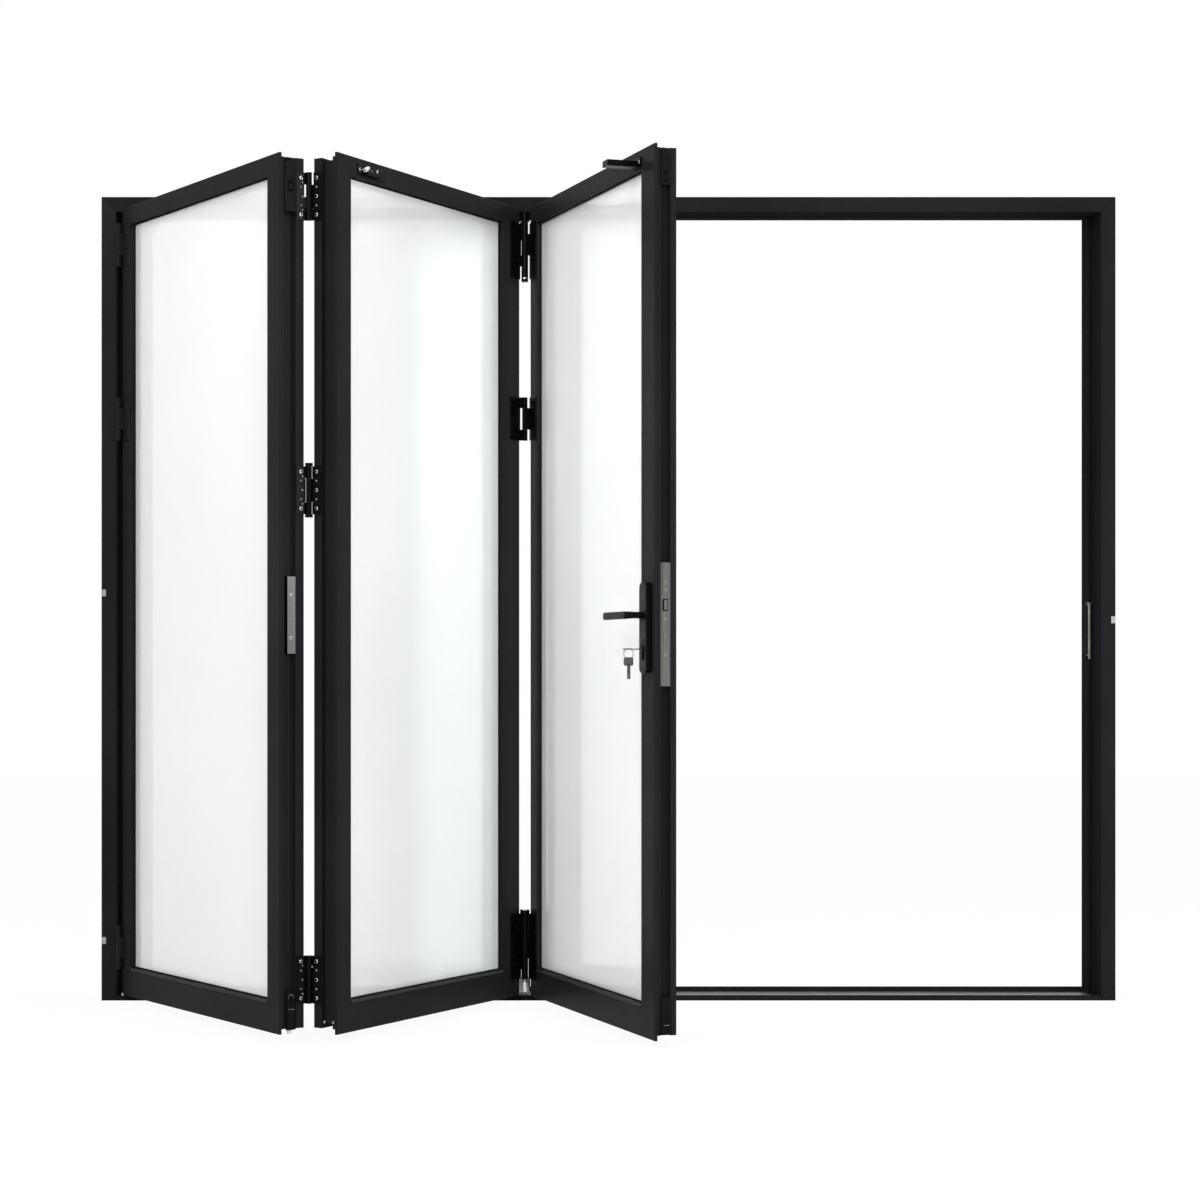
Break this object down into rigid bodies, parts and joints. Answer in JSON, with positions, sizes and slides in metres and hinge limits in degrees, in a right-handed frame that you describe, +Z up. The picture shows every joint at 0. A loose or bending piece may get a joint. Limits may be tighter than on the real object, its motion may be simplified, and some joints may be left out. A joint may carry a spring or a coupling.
{
  "type": "bifold patio door",
  "caption": "Glazed aluminium bifold patio door in a black outer frame, leaves half folded to the left on edge hinges and a head track, with a lever handle on the door leaf.",
  "frame": {"origin": "centre of the sill's flat underside, half way through the depth of the outer frame", "axes": "+X along the width, to the right as seen from the side that the leaves fold out to; +Y from that side through the frame; +Z up"},
  "size_m": [2.65, 0.9403, 2.1],
  "materials": {
    "black_coating": "black powder coating on aluminium, satin",
    "black_hardware": "black powder coating on cast and extruded metal, fine grain",
    "mill_aluminium": "clear anodised, lengthwise brushing",
    "steel_plate": "brushed stainless steel",
    "glass": "clear double glazing",
    "grey_plastic": "moulded grey plastic"
  },
  "bodies": {
    "door": {"bottom_guide": "mill_aluminium", "fixing_clip_1": "grey_plastic", "fixing_clip_2": "grey_plastic", "fixing_clip_3": "grey_plastic", "flush_bolt_plate": "steel_plate", "handle_plate": "black_hardware", "head_frame": "black_coating", "hold_open_arm": "black_hardware", "hold_open_catch": "black_hardware", "jamb_hinge_bottom_frame_half": "black_hardware", "jamb_hinge_bottom_leaf_half": "black_hardware", "jamb_hinge_middle_frame_half": "black_hardware", "jamb_hinge_middle_leaf_half": "black_hardware", "jamb_hinge_top_frame_half": "black_hardware", "jamb_hinge_top_leaf_half": "black_hardware", "key": "steel_plate", "leaf_1_bottom_bolt": "black_hardware", "leaf_1_bottom_rail": "black_coating", "leaf_1_glass": "glass", "leaf_1_glazing_bead": "black_coating", "leaf_1_jamb_stile": "black_coating", "leaf_1_meeting_stile": "black_coating", "leaf_1_top_bolt": "black_hardware", "leaf_1_top_rail": "black_coating", "leaf_2_bottom_rail": "black_coating", "leaf_2_glass": "glass", "leaf_2_glazing_bead": "black_coating", "leaf_2_meeting_stile": "black_coating", "leaf_2_top_rail": "black_coating", "leaf_2_track_stile": "black_coating", "leaf_3_bottom_bolt": "black_hardware", "leaf_3_bottom_rail": "black_coating", "leaf_3_glass": "glass", "leaf_3_glazing_bead": "black_coating", "leaf_3_hinge_stile": "black_coating", "leaf_3_lock_stile": "black_coating", "leaf_3_top_bolt": "black_hardware", "leaf_3_top_rail": "black_coating", "left_jamb": "black_coating", "lock_cylinder": "mill_aluminium", "lock_faceplate": "steel_plate", "ridge_hinge_bottom_left_half": "black_hardware", "ridge_hinge_bottom_right_half": "black_hardware", "ridge_hinge_middle_left_half": "black_hardware", "ridge_hinge_middle_right_half": "black_hardware", "ridge_hinge_top_left_half": "black_hardware", "ridge_hinge_top_right_half": "black_hardware", "right_jamb": "black_coating", "sill_frame": "black_coating", "sill_track": "mill_aluminium", "strike_plate": "steel_plate", "top_carrier": "black_hardware", "track_hinge_bottom_left_half": "black_hardware", "track_hinge_bottom_right_half": "black_hardware", "track_hinge_middle_left_half": "black_hardware", "track_hinge_middle_right_half": "black_hardware", "track_hinge_top_left_half": "black_hardware", "track_hinge_top_right_half": "black_hardware"},
    "lever": {"lever_handle": "black_hardware"}
  },
  "joints": [
    {"name": "lever_turn", "type": "hinge", "parent": "door", "child": "lever", "pos_m": [0.01224, -0.85764, 0.99], "axis": [-0.9588, -0.284, 0], "range_deg": [0, 45], "stiffness_Nm_per_rad": 1.6, "springref_deg": -17.19}
  ]
}
